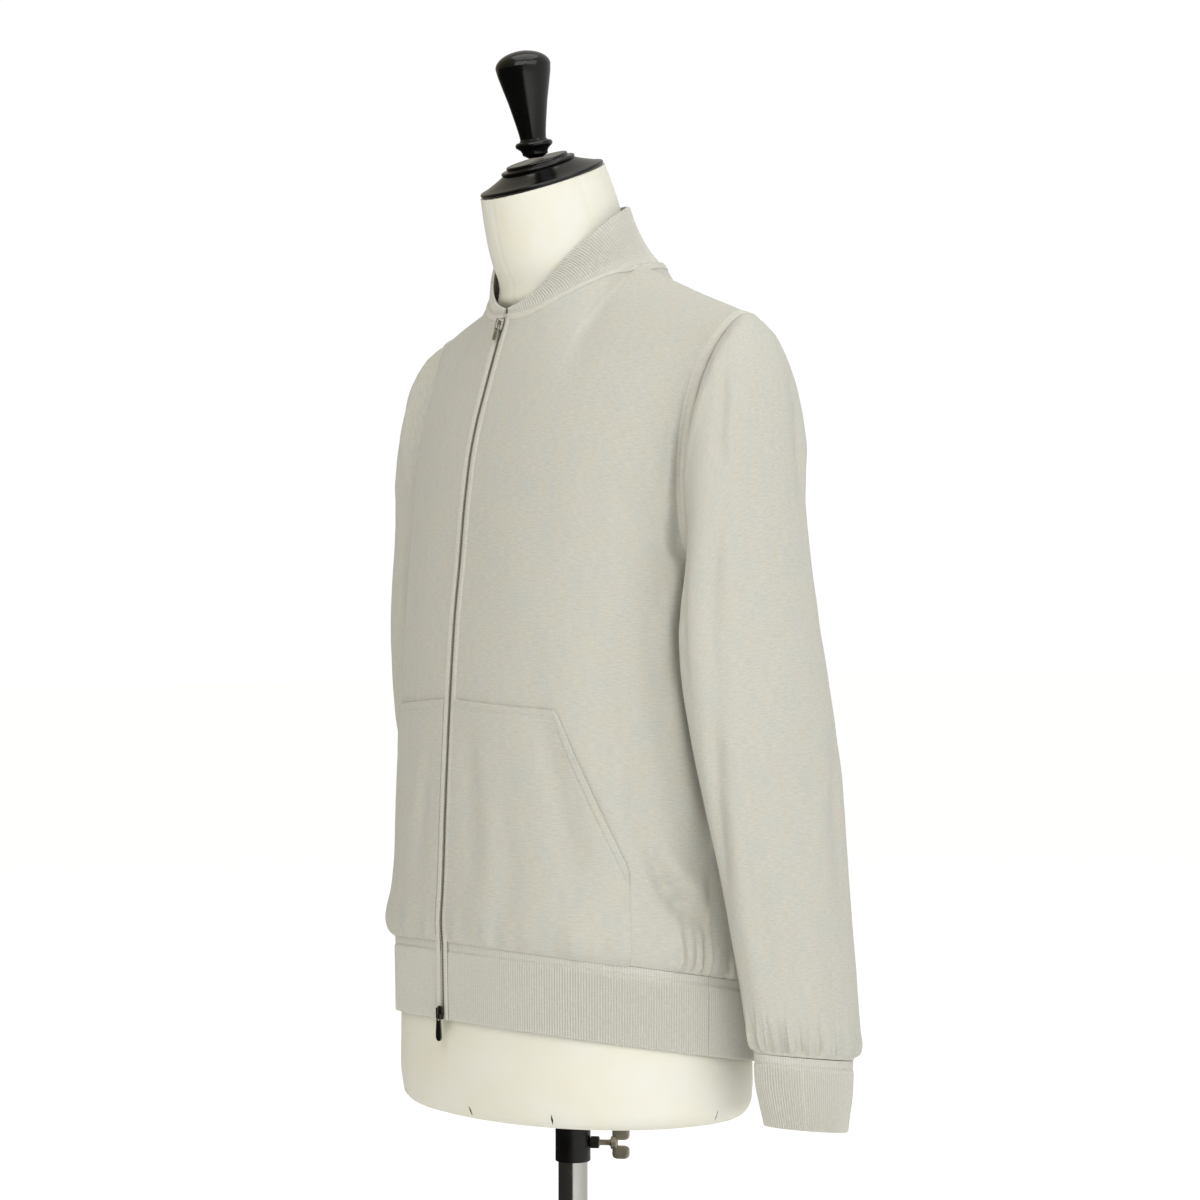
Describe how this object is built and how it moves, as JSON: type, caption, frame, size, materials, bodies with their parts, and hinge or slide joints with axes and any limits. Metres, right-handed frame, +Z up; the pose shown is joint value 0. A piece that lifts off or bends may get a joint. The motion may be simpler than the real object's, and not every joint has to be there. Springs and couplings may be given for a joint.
{
  "type": "knit bomber jacket on a dress form",
  "caption": "Fine-knit zip bomber jacket with ribbed collar, cuffs and hem, worn by a limbless canvas dress form on a height-adjustable pole stand.",
  "frame": {"origin": "centre of the round base's flat underside, on the pole's axis", "axes": "+Z up along the pole, the zip faces -Y, the wearer's left sleeve is at +X"},
  "size_m": [0.5026, 0.34, 1.3528],
  "materials": {
    "knit": "matte fine-gauge knit",
    "rib_knit": "matte rib knit",
    "tape_knit": "matte knit tape",
    "zip_teeth": "dark nickel",
    "bright_metal": "polished",
    "canvas": "matte canvas",
    "lacquered_wood": "gloss black lacquer",
    "black_metal": "gloss black enamel",
    "chrome": "polished"
  },
  "bodies": {
    "stand": {"pole_base": "black_metal", "pole_tube": "chrome"},
    "clamp": {"clamp_collar": "black_metal", "clamp_boss": "black_metal"},
    "screw": {"wing_screw": "bright_metal"},
    "form": {"form_torso": "canvas", "neck_cap": "lacquered_wood", "neck_knob": "lacquered_wood", "front_left": "knit", "front_right": "knit", "back": "knit", "sleeve_left": "knit", "sleeve_right": "knit", "hem_rib_left": "rib_knit", "hem_rib_right": "rib_knit", "hem_rib_back": "rib_knit", "cuff_left": "rib_knit", "cuff_right": "rib_knit", "collar": "rib_knit", "neck_band": "tape_knit", "armhole_band_left": "tape_knit", "armhole_band_right": "tape_knit", "placket_left": "tape_knit", "placket_right": "tape_knit", "pocket_left": "knit", "pocket_right": "knit", "zip_chain": "zip_teeth", "zip_slider_top": "bright_metal", "zip_slider_bottom": "bright_metal"},
    "pull_top": {"zip_pull_top": "bright_metal"},
    "pull_bottom": {"zip_pull_bottom": "bright_metal"}
  },
  "joints": [
    {"name": "height_slide", "type": "slide", "parent": "stand", "child": "clamp", "axis": [0, 0, 1], "range_m": [0, 0.24]},
    {"name": "form_swivel", "type": "hinge", "parent": "clamp", "child": "form", "pos_m": [0, 0, 0.46], "axis": [0, 0, 1], "continuous": true},
    {"name": "wing_screw_turn", "type": "hinge", "parent": "clamp", "child": "screw", "pos_m": [0.01061, 0.01061, 0.429], "axis": [0.7071, 0.7071, 0], "continuous": true},
    {"name": "pull_top_lift", "type": "hinge", "parent": "form", "child": "pull_top", "pos_m": [0, -0.07864, 1.1197], "axis": [-1, 0, 0], "range_deg": [0, 140]},
    {"name": "pull_bottom_lift", "type": "hinge", "parent": "form", "child": "pull_bottom", "pos_m": [0, -0.13851, 0.54646], "axis": [-1, 0, 0], "range_deg": [0, 140]}
  ]
}
